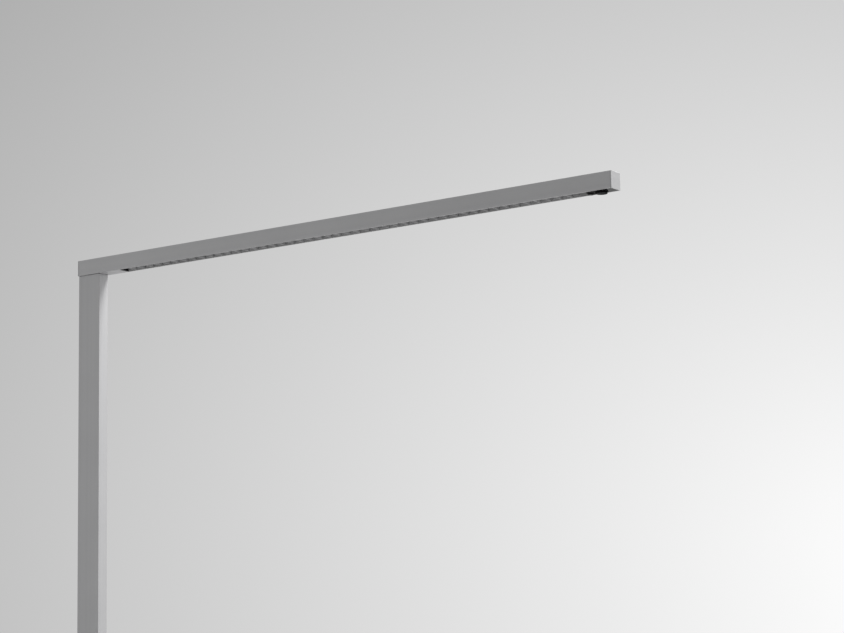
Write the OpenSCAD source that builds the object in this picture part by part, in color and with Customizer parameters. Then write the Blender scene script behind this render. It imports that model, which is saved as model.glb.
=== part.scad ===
// Office floor lamp: a slim square LED arm on top of a flat rectangular pole with a steel base plate.
// The pole stands upright and the arm runs out level from its top, over the desk.
// Origin: on the floor, on the pole's axis. +X runs along the arm, +Y to the back, +Z up. Millimetres.
// Pieces of the arm are drawn in the arm's own frame: x from its pole end, y from its middle,
// z from its underside.

/* [Overall] */
// Height from the floor to the top of the arm
lamp_h = 1950; // [1600:10:2200]
// Length of the arm over both end caps
arm_l = 1200; // [1000:10:1500]
// How far the arm's end stands out past the pole
arm_overhang = 0.5; // [0:0.5:3]
// Dark seam between the top of the pole and the underside of the arm
seam = 0.4; // [0.2:0.1:0.8]

/* [Arm profile] */
// Outer width of the arm
arm_w = 30; // [28:0.5:36]
// Outer height of the arm
arm_h = 30; // [28:0.5:36]
// Wall of the arm's extrusion
arm_wall = 1.6; // [1.4:0.1:1.8]
// Radius of the long edges of arm and pole
edge_r = 0.5; // [0.4:0.1:1]
// Width of the rim on each side of the light opening
rim_w = 2; // [1.9:0.1:2.4]
// Depth of the ribs that carry the LED rail
rib_d = 1.5; // [1:0.1:1.8]
// Thickness of the ribs
rib_t = 1.2; // [0.8:0.1:1.5]
// Thickness of the end caps
cap_t = 2; // [1.5:0.5:3]
// Shadow groove between an end cap and the profile
cap_groove = 0.4; // [0.2:0.1:0.8]
// Length of the end caps' plugs inside the profile
plug_l = 5; // [3:0.5:5.5]
// Wall of the plugs
plug_wall = 1.8; // [1.2:0.1:2.5]

/* [Light insert] */
// Distance from the arm's pole end to the light opening
light_start = 105; // [90:1:140]
// Distance from the last louvre cell's end piece to the arm's free end
light_end = 69; // [66:1:100]
// Height of the louvre
louvre_h = 12; // [10:0.5:14]
// How far the louvre's edges lie above the arm's underside
louvre_inset = 0.4; // [0:0.1:1]
// Thickness of the louvre's cross blades at their lower edge
blade_t = 1.2; // [0.8:0.1:2]
// Thickness of the louvre's side walls at their lower edge
louvre_wall = 0.9; // [0.7:0.1:1.6]
// Width of each cell's opening at the LED
cell_top = 9; // [8.4:0.1:10]
// Thickness of the black end pieces
end_piece_t = 1.2; // [1:0.1:3]
// Thickness of the clear lens strips
strip_t = 1; // [0.8:0.1:1.5]
// Width of the lens strips
strip_w = 18; // [14:0.5:20]
// Radius of a lens over an LED
dome_r = 4; // [3.5:0.1:4.1]
// Height of a lens over an LED
dome_h = 2.4; // [1.5:0.1:3]
// Side of an LED
led_w = 3; // [2:0.5:5]
// Height of an LED
led_h = 0.8; // [0.5:0.1:1]
// Thickness of the LED boards
board_t = 1.6; // [1:0.1:2]
// Width of the LED boards
board_w = 20; // [16:0.5:21]
// Thickness of the LED rail
rail_t = 2; // [1.5:0.1:3]

/* [Sensor panel] */
// Height of the tabs that clip the gloss panel into the arm
tab_h = 2.8; // [2:0.1:3.5]
// Distance from the middle of the sensor housing to the arm's free end
sensor_from_tip = 36; // [33:0.5:40]
// Length of the sensor housing's flange
panel_l = 39; // [38:0.5:44]
// Width of the flange, which is also twice its end radius
panel_w = 24; // [23:0.5:25]
// Thickness of the flange below the arm
flange_t = 0.8; // [0.5:0.1:1.2]
// How far the flange reaches past the cut-out in the gloss panel
flange_lap = 0.6; // [0.4:0.1:0.8]
// Radius of the sensor lens
eye_r = 10.1; // [9:0.1:10.8]
// How far the sensor lens stands below the arm
eye_drop = 3.8; // [2.5:0.1:6]
// Offset of the sensor lens from the housing's middle, towards the free end
eye_dx = 8; // [7:0.1:8.5]
// Radius of the push-button
button_r = 4.9; // [4.5:0.1:5.4]
// How far the push-button stands below the arm
button_drop = 3; // [2:0.1:4.4]
// Offset of the push-button from the housing's middle, towards the pole
button_dx = 12.5; // [12:0.1:12.8]
// Travel of the push-button
button_travel = 0.8; // [0.3:0.1:1.2]
// Length of the return spring at rest
spring_l = 3; // [2.6:0.1:4]
// Wire of the return spring
spring_wire = 0.4; // [0.3:0.05:0.5]

/* [Pole] */
// Width of the pole, along the arm
pole_w = 53; // [50:1:70]
// Depth of the pole, across the arm
pole_d = 24; // [23:0.5:28]
// Wall of the pole
pole_wall = 2; // [1.6:0.1:2.4]
// Height of the block in the top of the pole
top_block_h = 45; // [40:1:70]
// Height of the block in the foot of the pole
foot_block_h = 80; // [60:1:95]
// Spread of the neck screws and of the foot screws
screw_spread = 28; // [27:0.5:29]
// Thickness of the nut bar inside the arm
nut_bar_t = 6; // [4:0.5:8]
// Height of the cord entry above the floor
cord_z = 122; // [118:1:150]
// Radius of the bore in the cord bush
cord_r = 3.6; // [3:0.1:4]

/* [Driver] */
// Length of the LED driver
driver_l = 300; // [200:10:400]
// Width of the LED driver
driver_w = 40; // [30:1:44]
// Depth of the LED driver
driver_d = 16; // [12:0.5:16]
// Height of the driver's lower end above the sled's foot
driver_up = 168; // [100:1:300]
// Thickness of the sled's sheet
sled_t = 1.5; // [1:0.1:2]
// Radius of the lead from the driver to the arm
lead_r = 2; // [1.5:0.1:2.5]

/* [Base] */
// Length of the base plate, along the arm
base_l = 460; // [400:10:600]
// Width of the base plate
base_w = 280; // [240:10:400]
// Thickness of the base plate
base_t = 10; // [8:1:14]
// Distance from the pole's axis to the base plate's rear edge
base_rear = 70; // [50:5:120]
// Corner radius of the base plate
base_r = 12; // [8:1:30]
// Chamfer on the base plate's top edge
base_chamfer = 1; // [0.5:0.1:2]
// Thickness of the pad under the base plate
pad_t = 2; // [1.5:0.5:4]

/* [Hidden] */
$fn = 64;

// Colours
silver = [0.62, 0.62, 0.63];
cell_grey = [0.72, 0.72, 0.73];
black = [0.05, 0.05, 0.055];
steel = [0.55, 0.56, 0.58];

// Clearances
slip = 0.2;          // between a piece and the opening it is pushed into
slide = 0.15;        // around the moving button
thread_gap = 0.05;   // around a screw in its tapped hole
bore_gap = 0.3;      // around a screw in its clearance hole
cut = 1;             // how far a cutting shape runs past the face it opens
lap = 0.1;           // how far two shapes of one piece run into each other

// The arm's place and inside
arm_x0 = -(pole_w / 2 + arm_overhang);
arm_z0 = lamp_h - arm_h;
pole_axis_x = -arm_x0;
inner_w = arm_w - 2 * arm_wall;
slot_w = arm_w - 2 * rim_w;

// The light insert, built up from the arm's underside
modules = 4;
cells_per_module = 12;
slot_l = arm_l - light_start - light_end;
end_zone = slip + end_piece_t;
cells_x0 = light_start + end_zone;
module_l = (slot_l - 2 * end_zone) / modules;
cell_pitch = module_l / cells_per_module;
louvre_w = slot_w - 2 * slip;
strip_z = louvre_inset + louvre_h;
led_z = strip_z + strip_t;
board_z = led_z + led_h;
rail_z = board_z + board_t;
rail_top = rail_z + rail_t;
rail_lead = 2.5 * rail_t;
cell_steps = 5;
clip_l = 6;
clip_h = 2.4;
clip_d = rim_w + slip - arm_wall - 0.2;
clip_cells = [2, 6, 10];
screw_cells = [1, 6, 11];
board_screw_r = 1.5;
board_head_r = 2.75;
board_head_h = min(1.5, strip_t + led_h - lap);

// The sensor housing and the gloss panel
sensor_x = arm_l - sensor_from_tip;
button_x = sensor_x - button_dx;
eye_x = sensor_x + eye_dx;
cutout_l = panel_l - 2 * flange_lap;
cutout_w = panel_w - 2 * flange_lap;
eye_spigot_r = eye_r - 2;
eye_wall = 1.2;
tip_x0 = arm_l - light_end;
tip_l = light_end - cap_t - slip / 2;
tab_l = 7;
tab_wall = 1.2;
collar_r = button_r + 1.2;
collar_t = 0.8;
collar_z = arm_wall + slip;
stem_r = 1.5;
stem_top = collar_z + collar_t + spring_l - 0.8 - button_travel;
switch_z = collar_z + collar_t + spring_l;
switch_w = 6;
switch_h = 3.5;
plunger_r = 1.7;
plunger_h = 0.7;
sensor_board_z = switch_z + switch_h;
sensor_board_t = 1.2;
post_x = -2.9;
post_w = 2.4;
post_y = 9;
end_post_x = panel_l / 2 - 1.6;
pin_r = 0.6;
spring_r = 2.6;
spring_turns = 2.5;
connector = [10, 8, 3.5];
connector_dx = 10;

// The neck and the foot
block_w = pole_w - 2 * pole_wall - 2 * slip;
block_d = pole_d - 2 * pole_wall - 2 * slip;
pole_z0 = pad_t + base_t;
neck_r = 3;
neck_head_r = 5;
neck_head_h = 6;
neck_seat = 19;
nut_bar_l = 39;
groove_d = 0.7;
plug_in = min(plug_l, pole_axis_x - nut_bar_l / 2 - cap_t - slip);
wire_hole_r = 4.5;
foot_r = 4;
foot_head_r = 8;
foot_head_h = 4.4;
foot_screw_l = 34;
set_r = 2;
set_l = 7;
top_set_x = block_w / 2 - 3.8;
top_set_drop = 10;
foot_set_drop = 20;
foot_set_z = pole_z0 + foot_block_h - foot_set_drop;

// The driver and its lead
sled_z0 = pole_z0 + foot_block_h;
sled_y0 = -block_d / 2;
driver_y0 = sled_y0 + sled_t;
driver_z0 = sled_z0 + driver_up;
driver_top = driver_z0 + driver_l;
lug_l = 12;
lug_t = 2.5;
sled_l = driver_up + driver_l + 2 * lug_l;
sled_foot_d = pole_d - 2 * pole_wall - 4;
driver_screw_r = 1.9;
driver_head_r = 3.5;
driver_head_h = 2;
lead_z = rail_top + lead_r;
lead_bend = 10;
lead_end_x = sensor_x + connector_dx;
connector_top = sensor_board_z + sensor_board_t + connector[2];
lead_end_bend = min(4.5, lead_z - connector_top - 0.1);

// The cord bush
bush_neck_r = cord_r + 2.2;
bush_flange_r = bush_neck_r + 2.4;
bush_flange_t = 2.5;
bush_inner_t = 1.5;

// ---- Shared shapes

// Places children in the arm's frame
module in_arm() {
    translate([arm_x0, 0, arm_z0])
        children();
}

// Rectangle with round corners, about the middle
module rounded_rect(l, w, r) {
    square([l - 2 * r, w], center = true);
    square([l, w - 2 * r], center = true);
    for (sx = [-1, 1], sy = [-1, 1])
        translate([sx * (l / 2 - r), sy * (w / 2 - r)])
            circle(r = r);
}

// Oblong with half-round ends
module stadium(l, w) {
    square([l - w, w], center = true);
    for (s = [-1, 1])
        translate([s * (l - w) / 2, 0])
            circle(d = w);
}

// Wedge that slopes from full width at the bottom to nothing at the top, with a root inside the plate
module chamfer_wedge(out, up) {
    polygon([[-out, 0], [out, 0], [0, up], [-out, up]]);
}

// Plate with round corners and a chamfer around its upper face
module chamfered_plate(l, w, t, r, c) {
    linear_extrude(t - c)
        rounded_rect(l, w, r);
    translate([0, 0, t - c])
        linear_extrude(c)
            rounded_rect(l - 2 * c, w - 2 * c, r - c);
    for (s = [-1, 1]) {
        translate([0, s * (w / 2 - c), t - c])
            rotate([90, 0, 90])
                linear_extrude(l - 2 * r, center = true)
                    chamfer_wedge(s * c, c);
        translate([s * (l / 2 - c), 0, t - c])
            rotate([90, 0, 0])
                linear_extrude(w - 2 * r, center = true)
                    chamfer_wedge(s * c, c);
    }
    for (sx = [-1, 1], sy = [-1, 1])
        translate([sx * (l / 2 - r), sy * (w / 2 - r), t - c])
            cylinder(h = c, r1 = r, r2 = r - c);
}

// Extrudes a section drawn as (y, z) along +X
module along_x(length, center = false) {
    rotate([90, 0, 90])
        linear_extrude(length, center = center)
            children();
}

// Cylinder whose axis runs along +Y
module y_cylinder(h, r) {
    rotate([-90, 0, 0])
        cylinder(h = h, r = r);
}

// Set screw with a hexagon socket, from its outer end towards -Y
module set_screw() {
    difference() {
        translate([0, -set_l, 0])
            y_cylinder(set_l, set_r);
        translate([0, -2.5, 0])
            rotate([-90, 0, 0])
                cylinder(h = 2.5 + cut, r = 1.15, $fn = 6);
    }
}

// ---- Arm

module arm_section() {
    difference() {
        translate([0, arm_h / 2])
            rounded_rect(arm_w, arm_h, edge_r);
        translate([0, arm_h / 2])
            square([inner_w, arm_h - 2 * arm_wall], center = true);
    }
    for (s = [-1, 1], z = [rail_z - rib_t, rail_top + slip])
        translate([s * (inner_w / 2 - rib_d / 2 + arm_wall / 4), z + rib_t / 2])
            square([rib_d + arm_wall / 2, rib_t], center = true);
}

module arm_profile() {
    color(silver)
        in_arm()
            difference() {
                translate([cap_t, 0, 0])
                    along_x(arm_l - 2 * cap_t)
                        arm_section();
                translate([light_start, -slot_w / 2, -cut])
                    cube([arm_l - light_start, slot_w, arm_wall + 2 * cut]);
                for (s = [-1, 1])
                    translate([pole_axis_x + s * screw_spread / 2, 0, -cut])
                        cylinder(h = arm_wall + 2 * cut, r = neck_r + bore_gap);
                translate([pole_axis_x, 0, -cut])
                    cylinder(h = arm_wall + 2 * cut, r = wire_hole_r);
            }
}

// End cap: a flat plate with a groove behind it and a hollow plug that fills the profile
module arm_cap() {
    plug_w = inner_w - 2 * rib_d - 2 * slip;
    plug_h = arm_h - 2 * arm_wall - 2 * slip;
    plate_t = cap_t - cap_groove;
    neck = 2 * groove_d;
    translate([0, 0, arm_h / 2]) {
        translate([plate_t, 0, 0])
            rotate([0, -90, 0])
                chamfered_plate(arm_h, arm_w, plate_t, edge_r, edge_r * 0.6);
        translate([plate_t / 2, -arm_w / 2 + groove_d, -arm_h / 2 + groove_d])
            cube([cap_t - plate_t / 2, arm_w - neck, arm_h - neck]);
        difference() {
            translate([plate_t, -plug_w / 2, -plug_h / 2])
                cube([cap_groove + plug_in, plug_w, plug_h]);
            translate([cap_t, -plug_w / 2 + plug_wall, -plug_h / 2 + plug_wall])
                cube([plug_in + cut, plug_w - 2 * plug_wall, plug_h - 2 * plug_wall]);
        }
    }
}

module arm_cap_pole_end() {
    color(silver)
        in_arm()
            arm_cap();
}

module arm_cap_free_end() {
    color(silver)
        in_arm()
            translate([arm_l, 0, 0])
                mirror([1, 0, 0])
                    arm_cap();
}

// ---- Light insert

// Bar that slides into the grooves of the arm and carries the boards
module led_rail() {
    rail_w = inner_w - 2 * slip;
    color(steel)
        in_arm()
            difference() {
                translate([light_start - rail_lead, -rail_w / 2, rail_z])
                    cube([slot_l + rail_lead, rail_w, rail_t]);
                at_board_screws()
                    translate([0, 0, rail_z - cut])
                        cylinder(h = rail_t + 2 * cut, r = board_screw_r + thread_gap);
            }
}

// Places children at every screw of one LED board, in the module's frame
module at_module_screws() {
    for (k = screw_cells)
        translate([k * cell_pitch, 0, 0])
            children();
}

// Places children at every screw of the LED boards, in the arm's frame
module at_board_screws() {
    for (i = [0 : modules - 1])
        translate([cells_x0 + i * module_l, 0, 0])
            at_module_screws()
                children();
}

// Places children at the middle of each cell of a module
module at_cells() {
    for (k = [0 : cells_per_module - 1])
        translate([(k + 0.5) * cell_pitch, 0, 0])
            children();
}

module led_board(i) {
    color("white")
        in_arm()
            translate([cells_x0 + i * module_l, 0, 0])
                difference() {
                    union() {
                        translate([slip / 2, -board_w / 2, board_z])
                            cube([module_l - slip, board_w, board_t]);
                        at_cells()
                            translate([-led_w / 2, -led_w / 2, led_z])
                                cube([led_w, led_w, led_h]);
                    }
                    at_module_screws()
                        translate([0, 0, board_z - cut])
                            cylinder(h = board_t + 2 * cut, r = board_screw_r + thread_gap);
                }
}

module led_board_screws() {
    color(steel)
        in_arm()
            at_board_screws() {
                translate([0, 0, board_z - board_head_h])
                    cylinder(h = board_head_h, r = board_head_r);
                translate([0, 0, board_z - lap])
                    cylinder(h = board_t + rail_t + lap, r = board_screw_r);
            }
}

// Clear strip with one round lens over each LED
module lens_strip(i) {
    ball_r = (dome_r * dome_r + dome_h * dome_h) / (2 * dome_h);
    color([0.85, 0.9, 0.95, 0.5])
        in_arm()
            translate([cells_x0 + i * module_l, 0, strip_z]) {
                difference() {
                    translate([slip / 2, -strip_w / 2, 0])
                        cube([module_l - slip, strip_w, strip_t]);
                    at_module_screws()
                        translate([0, 0, -cut])
                            cylinder(h = strip_t + 2 * cut, r = board_head_r + bore_gap);
                }
                at_cells()
                    intersection() {
                        translate([0, 0, ball_r - dome_h])
                            sphere(r = ball_r);
                        translate([-dome_r, -dome_r, -dome_h])
                            cube([2 * dome_r, 2 * dome_r, dome_h + strip_t / 2]);
                    }
            }
}

// Half width of a cell at depth share s, from 0 at the LED to 1 at the lower edge: a parabola
function cell_half(top_w, edge_w, s) = sqrt(top_w * top_w * (1 - s) + edge_w * edge_w * s) / 2;

// Section of a cell's cavity, as (across, up)
function cell_outline(edge_w) = [
    [cell_half(cell_top, edge_w, 1), -cut],
    for (k = [cell_steps : -1 : 0])
        [cell_half(cell_top, edge_w, k / cell_steps), louvre_h * (1 - k / cell_steps)],
    [cell_half(cell_top, edge_w, 0), louvre_h + cut],
];

module cell_section(edge_w) {
    half = cell_outline(edge_w);
    last = len(half) - 1;
    polygon([each half, for (k = [last : -1 : 0]) [-half[k][0], half[k][1]]]);
}

// The space inside one cell: the parabola along the arm cut with the one across it
module cell_cavity() {
    intersection() {
        rotate([90, 0, 0])
            linear_extrude(louvre_w, center = true)
                cell_section(cell_pitch - blade_t);
        along_x(cell_pitch, center = true)
            cell_section(louvre_w - 2 * louvre_wall);
    }
}

// Sloped snap clip on side s, which holds a piece on the rim of the opening
module clip(s, seat) {
    root = louvre_w / 2 - louvre_wall / 2;
    out = louvre_w / 2 + clip_d;
    along_x(clip_l, center = true)
        polygon([[s * root, seat], [s * out, seat], [s * out, seat + clip_h / 4], [s * root, seat + clip_h]]);
}

// The space between the side walls over half a cell, from a module's end inwards
module between_walls() {
    translate([-cut, 0, 0])
        along_x(cell_pitch / 2 + cut)
            cell_section(louvre_w - 2 * louvre_wall);
}

// Half of a cross blade between the side walls, which closes the row at its end
module half_blade() {
    difference() {
        intersection() {
            translate([0, -louvre_w / 2, 0])
                cube([cell_pitch / 2, louvre_w, louvre_h]);
            between_walls();
        }
        translate([cell_pitch / 2, 0, 0])
            rotate([90, 0, 0])
                linear_extrude(louvre_w, center = true)
                    cell_section(cell_pitch - blade_t);
    }
}

// Louvre module: a row of square reflector cells, narrow at the LED and wide below
module louvre(i) {
    color(cell_grey)
        in_arm()
            translate([cells_x0 + i * module_l, 0, louvre_inset])
                difference() {
                    union() {
                        translate([slip / 2, -louvre_w / 2, 0])
                            cube([module_l - slip, louvre_w, louvre_h]);
                        for (k = clip_cells, s = [-1, 1])
                            translate([k * cell_pitch, 0, 0])
                                clip(s, arm_wall - louvre_inset);
                    }
                    at_cells()
                        cell_cavity();
                    if (i == 0)
                        between_walls();
                    if (i == modules - 1)
                        translate([module_l, 0, 0])
                            mirror([1, 0, 0])
                                between_walls();
                }
}

// Black piece that closes one end of the light opening: an end plate with the outermost blade
module louvre_end() {
    color(black) {
        translate([-end_piece_t, -louvre_w / 2, 0])
            cube([end_piece_t, louvre_w, louvre_h]);
        half_blade();
        for (s = [-1, 1])
            intersection() {
                clip(s, arm_wall - louvre_inset);
                translate([-end_piece_t, -arm_w / 2, 0])
                    cube([end_piece_t, arm_w, louvre_h]);
            }
    }
}

module louvre_end_pole_side() {
    in_arm()
        translate([cells_x0, 0, louvre_inset])
            louvre_end();
}

module louvre_end_free_side() {
    in_arm()
        translate([cells_x0 + modules * module_l, 0, louvre_inset])
            mirror([1, 0, 0])
                louvre_end();
}

// ---- Sensor panel

// Gloss panel that closes the opening from the louvre to the end cap
module tip_panel() {
    half = louvre_w / 2;
    color(black)
        in_arm()
            translate([tip_x0, 0, 0]) {
                difference() {
                    translate([0, -half, 0])
                        cube([tip_l, louvre_w, arm_wall]);
                    translate([sensor_x - tip_x0, 0, -cut])
                        linear_extrude(arm_wall + 2 * cut)
                            stadium(cutout_l, cutout_w);
                }
                for (x = [tab_l / 2 + 1, tip_l - tab_l / 2 - plug_l], s = [-1, 1])
                    translate([x, 0, 0]) {
                        translate([-tab_l / 2, s * (half - tab_wall / 2) - tab_wall / 2, arm_wall / 2])
                            cube([tab_l, tab_wall, arm_wall / 2 + tab_h]);
                        clip(s, arm_wall);
                    }
            }
}

// Post that carries the sensor board and hooks over the edge of the cut-out in the panel
module snap_post(s) {
    hook = cutout_w / 2 + clip_d;
    outer = cutout_w / 2 - slip;
    translate([post_x - post_w / 2, min(s * (outer - post_w), s * outer), arm_wall - cut])
        cube([post_w, post_w, sensor_board_z - arm_wall + cut]);
    translate([post_x, 0, 0])
        along_x(post_w, center = true)
            polygon([
                [s * (outer - lap), arm_wall],
                [s * hook, arm_wall],
                [s * hook, arm_wall + clip_h / 4],
                [s * (outer - lap), arm_wall + clip_h],
            ]);
    translate([post_x, s * (outer - post_w / 2), sensor_board_z - cut])
        cylinder(h = cut + sensor_board_t + 0.4, r = pin_r);
}

// Sensor housing: flange below the panel, plug in its cut-out, posts inside for the sensor board
module sensor_panel() {
    color(black)
        in_arm()
            translate([sensor_x, 0, 0])
                difference() {
                    union() {
                        translate([0, 0, -flange_t])
                            linear_extrude(flange_t)
                                stadium(panel_l, panel_w);
                        translate([0, 0, -flange_t / 2])
                            linear_extrude(flange_t / 2 + arm_wall)
                                stadium(cutout_l - 2 * slip, cutout_w - 2 * slip);
                        for (s = [-1, 1])
                            snap_post(s);
                        translate([end_post_x - post_w / 2, -2, 0])
                            cube([post_w / 2, 4, sensor_board_z]);
                    }
                    translate([-button_dx, 0, -flange_t - cut])
                        cylinder(h = flange_t + arm_wall + 2 * cut, r = button_r + slide);
                    translate([eye_dx, 0, -flange_t - cut])
                        cylinder(h = flange_t + arm_wall + 2 * cut, r = eye_spigot_r + slip / 2);
                }
}

// Round sensor lens: a dark disc with a soft edge, on a hollow spigot
module sensor_lens() {
    edge = 0.6;
    low = -eye_drop;
    color([0.1, 0.1, 0.11])
        in_arm()
            translate([eye_x, 0, 0])
                rotate_extrude()
                    polygon([
                        [0, low],
                        [eye_r - edge, low],
                        for (a = [15 : 15 : 75])
                            [eye_r - edge + edge * sin(a), low + edge - edge * cos(a)],
                        [eye_r, low + edge],
                        [eye_r, -flange_t],
                        [eye_spigot_r, -flange_t],
                        [eye_spigot_r, arm_wall + 1],
                        [eye_spigot_r - eye_wall, arm_wall + 1],
                        [eye_spigot_r - eye_wall, low + eye_wall],
                        [0, low + eye_wall],
                    ]);
}

module sensor_board() {
    color([0.1, 0.3, 0.15])
        in_arm()
            translate([sensor_x, 0, sensor_board_z]) {
                difference() {
                    linear_extrude(sensor_board_t)
                        stadium(panel_l - 3, cutout_w - 2 * slip);
                    for (s = [-1, 1])
                        translate([post_x, s * (cutout_w / 2 - slip - post_w / 2), -cut])
                            cylinder(h = sensor_board_t + 2 * cut, r = pin_r + thread_gap);
                }
                translate([connector_dx - connector[0] / 2, -connector[1] / 2, sensor_board_t])
                    cube(connector);
                translate([eye_dx, 0, -2.5])
                    cylinder(h = 2.5, r = 4);
            }
}

module tact_switch() {
    color([0.15, 0.15, 0.16])
        in_arm()
            translate([button_x, 0, switch_z]) {
                translate([-switch_w / 2, -switch_w / 2, 0])
                    cube([switch_w, switch_w, switch_h]);
                translate([0, 0, -plunger_h])
                    cylinder(h = plunger_h + lap, r = plunger_r);
            }
}

// Push-button: a round cap with a soft edge, a collar inside the panel and a stem for the switch
module push_button() {
    edge = 0.5;
    low = -button_drop;
    collar_top = collar_z + collar_t;
    color([0.08, 0.08, 0.085])
        in_arm()
            translate([button_x, 0, 0])
                rotate_extrude()
                    polygon([
                        [0, low],
                        [button_r - edge, low],
                        for (a = [15 : 15 : 75])
                            [button_r - edge + edge * sin(a), low + edge - edge * cos(a)],
                        [button_r, low + edge],
                        [button_r, collar_z],
                        [collar_r, collar_z],
                        [collar_r, collar_top],
                        [stem_r, collar_top],
                        [stem_r, stem_top],
                        [0, stem_top],
                    ]);
}

// Return spring: an open coil of round wire between the button's collar and the switch
module button_spring() {
    sides = 6;
    steps = 14;
    rings = round(spring_turns * steps);
    wire = spring_wire / 2;
    rise = spring_l - spring_wire;
    points = [
        for (k = [0 : rings], j = [0 : sides - 1])
            let (a = 360 * k / steps, b = 360 * j / sides, r = spring_r + wire * cos(b))
                [r * cos(a), r * sin(a), wire + rise * k / rings + wire * sin(b)]
    ];
    walls = [
        for (k = [0 : rings - 1], j = [0 : sides - 1])
            let (n = (j + 1) % sides)
                [k * sides + j, k * sides + n, (k + 1) * sides + n, (k + 1) * sides + j]
    ];
    low_end = [for (j = [sides - 1 : -1 : 0]) j];
    high_end = [for (j = [0 : sides - 1]) rings * sides + j];
    color(steel)
        in_arm()
            translate([button_x, 0, collar_z + collar_t])
                polyhedron(points, [each walls, low_end, high_end], convexity = 6);
}

// ---- Neck: how the arm is held on the pole

// Tapped bar on the arm's floor
module arm_nut_bar() {
    color(steel)
        in_arm()
            translate([pole_axis_x, 0, arm_wall])
                difference() {
                    translate([-nut_bar_l / 2, -inner_w / 2 + slip, 0])
                        cube([nut_bar_l, inner_w - 2 * slip, nut_bar_t]);
                    for (s = [-1, 1])
                        translate([s * screw_spread / 2, 0, -cut])
                            cylinder(h = nut_bar_t + 2 * cut, r = neck_r + thread_gap);
                    translate([0, 0, -cut])
                        cylinder(h = nut_bar_t + 2 * cut, r = wire_hole_r);
                }
}

// Socket screws that go up through the block into the nut bar
module neck_screws() {
    color(steel)
        for (s = [-1, 1])
            translate([s * screw_spread / 2, 0, arm_z0 - neck_seat])
                difference() {
                    union() {
                        translate([0, 0, -neck_head_h])
                            cylinder(h = neck_head_h, r = neck_head_r);
                        cylinder(h = neck_seat + arm_wall + nut_bar_t, r = neck_r);
                    }
                    translate([0, 0, -neck_head_h - cut])
                        cylinder(h = 3 + cut, r = 2.9, $fn = 6);
                }
}

// Block in the top of the pole, which the arm stands on
module pole_top_block() {
    color(steel)
        translate([0, 0, arm_z0 - top_block_h])
            difference() {
                translate([-block_w / 2, -block_d / 2, 0])
                    cube([block_w, block_d, top_block_h]);
                translate([0, 0, -cut])
                    cylinder(h = top_block_h + 2 * cut, r = wire_hole_r);
                for (s = [-1, 1]) {
                    translate([s * screw_spread / 2, 0, -cut]) {
                        cylinder(h = top_block_h + 2 * cut, r = neck_r + bore_gap);
                        cylinder(h = top_block_h - neck_seat + cut, r = neck_head_r + bore_gap);
                    }
                    translate([s * top_set_x, block_d / 2 - set_l, top_block_h - top_set_drop])
                        y_cylinder(set_l + cut, set_r + thread_gap);
                }
            }
}

module top_set_screws() {
    color(steel)
        for (s = [-1, 1])
            translate([s * top_set_x, pole_d / 2 - 0.5, arm_z0 - top_set_drop])
                set_screw();
}

// ---- Pole

module pole_profile() {
    back = pole_d / 2 - pole_wall - cut;
    depth = pole_wall + 2 * cut;
    color(silver)
        difference() {
            translate([0, 0, pole_z0])
                linear_extrude(arm_z0 - seam - pole_z0)
                    difference() {
                        rounded_rect(pole_w, pole_d, edge_r);
                        square([pole_w - 2 * pole_wall, pole_d - 2 * pole_wall], center = true);
                    }
            for (s = [-1, 1]) {
                translate([s * top_set_x, back, arm_z0 - top_set_drop])
                    y_cylinder(depth, set_r + bore_gap);
                translate([s * screw_spread / 2, back, foot_set_z])
                    y_cylinder(depth, set_r + bore_gap);
            }
            translate([0, back, cord_z])
                y_cylinder(depth, bush_neck_r + slip / 2);
        }
}

// Sheet-metal sled that stands on the foot block and carries the driver
module driver_sled() {
    color(steel)
        difference() {
            union() {
                translate([-block_w / 2, sled_y0, sled_z0])
                    cube([block_w, sled_t, sled_l]);
                translate([-block_w / 2, sled_y0, sled_z0])
                    cube([block_w, sled_foot_d, sled_t]);
                translate([-block_w / 2, sled_y0, sled_z0 + sled_l - sled_t])
                    cube([block_w, sled_foot_d, sled_t]);
            }
            at_driver_screws()
                translate([0, -sled_t - cut, 0])
                    y_cylinder(sled_t + 2 * cut, driver_screw_r + thread_gap);
            translate([0, 0, sled_z0 + sled_l - sled_t - cut])
                cylinder(h = sled_t + 2 * cut, r = lead_r + 1);
        }
}

// Places children at the two screws of the driver, on the sled's face
module at_driver_screws() {
    for (z = [driver_z0 - lug_l / 2, driver_top + lug_l / 2])
        translate([0, driver_y0, z])
            children();
}

// LED driver: a slim metal case with a lug at each end
module led_driver() {
    color("whitesmoke")
        difference() {
            union() {
                translate([0, driver_y0 + driver_d / 2, driver_z0])
                    linear_extrude(driver_l)
                        rounded_rect(driver_w, driver_d, 1.5);
                translate([-driver_w / 4, driver_y0, driver_z0 - lug_l])
                    cube([driver_w / 2, lug_t, driver_l + 2 * lug_l]);
            }
            at_driver_screws()
                translate([0, -cut, 0])
                    y_cylinder(lug_t + 2 * cut, driver_screw_r + bore_gap);
        }
}

module driver_screws() {
    color(steel)
        at_driver_screws() {
            translate([0, -sled_t, 0])
                y_cylinder(sled_t + lug_t + lap, driver_screw_r);
            translate([0, lug_t, 0])
                y_cylinder(driver_head_h, driver_head_r);
        }
}

// Quarter bend of the lead, from its lower end on +X to its upper end over the bend's centre
module lead_elbow(bend) {
    rotate([90, 0, 0])
        rotate_extrude(angle = 90)
            translate([bend, 0])
                circle(r = lead_r, $fn = 24);
}

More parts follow.
